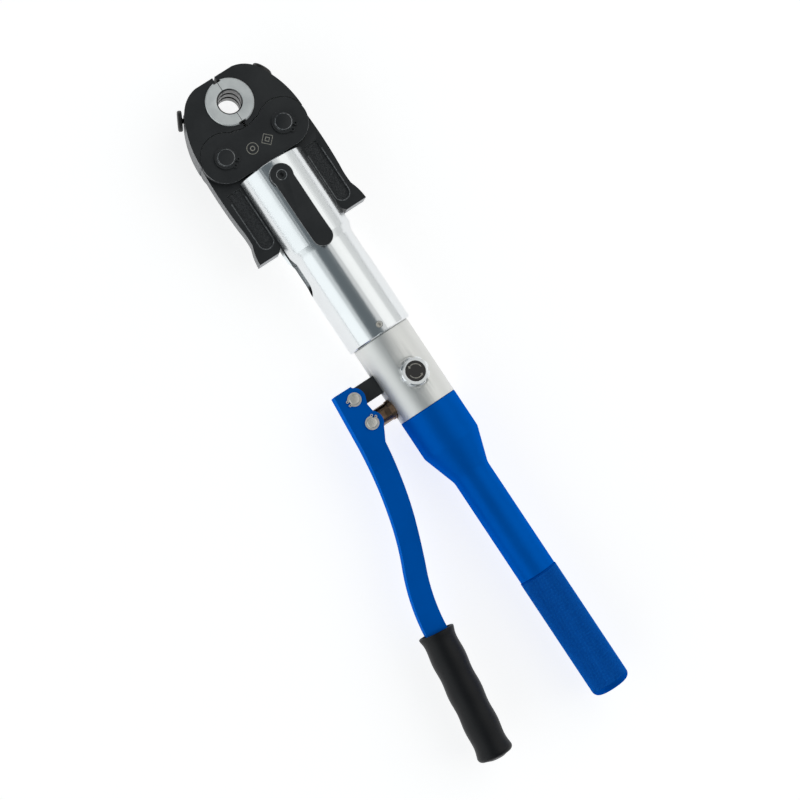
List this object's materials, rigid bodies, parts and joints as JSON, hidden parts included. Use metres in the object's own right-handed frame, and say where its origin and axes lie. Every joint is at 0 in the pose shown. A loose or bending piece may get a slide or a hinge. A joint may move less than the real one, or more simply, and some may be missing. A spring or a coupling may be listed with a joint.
{
  "type": "hydraulic pipe crimping tool",
  "caption": "Hand-pumped hydraulic crimping tool: pivoting jaws with split dies, swivelling fork head, pump lever with rubber grip and reservoir handle.",
  "frame": {"origin": "centre of the closed crimp bore between the two die halves", "axes": "+X along the tool from head to handle end, +Z along the bore axis out of the front side plate (release dial side), pump lever towards -Y"},
  "size_m": [0.5418, 0.1612, 0.0642],
  "materials": {
    "machined_steel": "turned and polished",
    "satin_steel": "satin",
    "black_steel": "phosphated black, satin",
    "die_steel": "ground",
    "dark_steel": "blackened",
    "black_knob": "matt",
    "spring_steel": "drawn wire",
    "pin_steel": "zinc plated",
    "bronze": "turned bronze",
    "seal_rubber": "smooth",
    "blue_paint": "semi-gloss paint",
    "grip_rubber": "moulded, soft sheen"
  },
  "bodies": {
    "pump": {"pump_body": "satin_steel", "rod_gland": "bronze", "rod_seal": "seal_rubber", "return_spring": "spring_steel", "check_balls": "dark_steel", "check_springs": "spring_steel", "inlet_strainer": "bronze", "swivel_ring": "seal_rubber", "lever_bracket": "black_steel", "pivot_pin": "pin_steel", "pivot_pin_rings": "pin_steel", "plunger_gland": "bronze", "handle_tube": "blue_paint", "handle_grip": "blue_paint", "filler_plug": "dark_steel", "oil_bladder": "seal_rubber"},
    "head": {"fork_sleeve": "machined_steel", "swivel_screws": "dark_steel", "front_side_plate": "black_steel", "rear_side_plate": "black_steel", "jaw_pins": "black_steel", "jaw_pin_clips": "black_steel", "jaw_spring": "spring_steel"},
    "lock": {"jaw_lock_pin": "dark_steel", "lock_screw": "black_steel", "lock_lever": "black_steel"},
    "ram": {"ram_piston": "machined_steel", "piston_seal": "seal_rubber", "roller_carriage": "dark_steel", "roller_pins": "dark_steel"},
    "roller_right_body": {"roller_right": "dark_steel"},
    "roller_left_body": {"roller_left": "dark_steel"},
    "right_jaw": {"jaw_right": "black_steel", "die_right": "die_steel", "die_lock_bush_right": "dark_steel", "die_lock_spring_right": "spring_steel"},
    "left_jaw": {"jaw_left": "black_steel", "die_left": "die_steel", "die_lock_bush_left": "dark_steel", "die_lock_spring_left": "spring_steel"},
    "right_die_lock": {"die_lock_right": "black_knob"},
    "left_die_lock": {"die_lock_left": "black_knob"},
    "lever": {"pump_lever": "blue_paint", "lever_grip": "grip_rubber", "plunger_pin": "pin_steel", "plunger_pin_rings": "pin_steel"},
    "plunger": {"pump_plunger": "bronze"},
    "dial": {"release_dial": "machined_steel", "dial_cap": "black_knob", "release_spindle": "dark_steel"}
  },
  "joints": [
    {"name": "head_swivel", "type": "hinge", "parent": "pump", "child": "head", "pos_m": [0.18, 0, 0], "axis": [1, 0, 0], "continuous": true},
    {"name": "ram_slide", "type": "slide", "parent": "head", "child": "ram", "axis": [1, 0, 0], "range_m": [0, 0.036], "deforming": ["return_spring"]},
    {"name": "jaw_right_hinge", "type": "hinge", "parent": "head", "child": "right_jaw", "pos_m": [0.0337, 0.02535, 0], "axis": [0, 0, 1], "range_deg": [-16.2, 0], "deforming": ["jaw_spring"]},
    {"name": "jaw_left_hinge", "type": "hinge", "parent": "head", "child": "left_jaw", "pos_m": [0.0337, -0.02535, 0], "axis": [0, 0, 1], "range_deg": [0, 16.2]},
    {"name": "roller_right_spin", "type": "hinge", "parent": "ram", "child": "roller_right_body", "pos_m": [0.095, 0.0086, 0], "axis": [0, 0, 1], "continuous": true},
    {"name": "roller_left_spin", "type": "hinge", "parent": "ram", "child": "roller_left_body", "pos_m": [0.095, -0.0086, 0], "axis": [0, 0, 1], "continuous": true},
    {"name": "lock_lever_turn", "type": "hinge", "parent": "head", "child": "lock", "pos_m": [0.0679, 0, 0], "axis": [0, 0, 1], "range_deg": [0, 90]},
    {"name": "die_lock_right_pull", "type": "slide", "parent": "right_jaw", "child": "right_die_lock", "axis": [-0.4695, 0.8829, 0], "range_m": [0, 0.0025], "stiffness_N_per_m": 1500, "springref_m": -0.002, "deforming": ["die_lock_spring_right"]},
    {"name": "die_lock_left_pull", "type": "slide", "parent": "left_jaw", "child": "left_die_lock", "axis": [-0.4695, -0.8829, 0], "range_m": [0, 0.0025], "stiffness_N_per_m": 1500, "springref_m": -0.002, "deforming": ["die_lock_spring_left"]},
    {"name": "lever_pump", "type": "hinge", "parent": "pump", "child": "lever", "pos_m": [0.2346, -0.0445, 0], "axis": [0, 0, 1], "range_deg": [-35, 13]},
    {"name": "plunger_slide", "type": "slide", "parent": "pump", "child": "plunger", "axis": [0, 1, 0], "range_m": [-0.0135, 0.0055]},
    {"name": "release_turn", "type": "hinge", "parent": "pump", "child": "dial", "pos_m": [0.242, 0, 0], "axis": [0, 0.0785, 0.9969], "range_deg": [0, 90]}
  ],
  "couplings": [
    {"joint": "jaw_right_hinge", "follows": "ram_slide", "rad_per_m": -7.854},
    {"joint": "jaw_left_hinge", "follows": "ram_slide", "rad_per_m": 7.854},
    {"joint": "plunger_slide", "follows": "lever_pump", "m_per_rad": 0.0212}
  ]
}
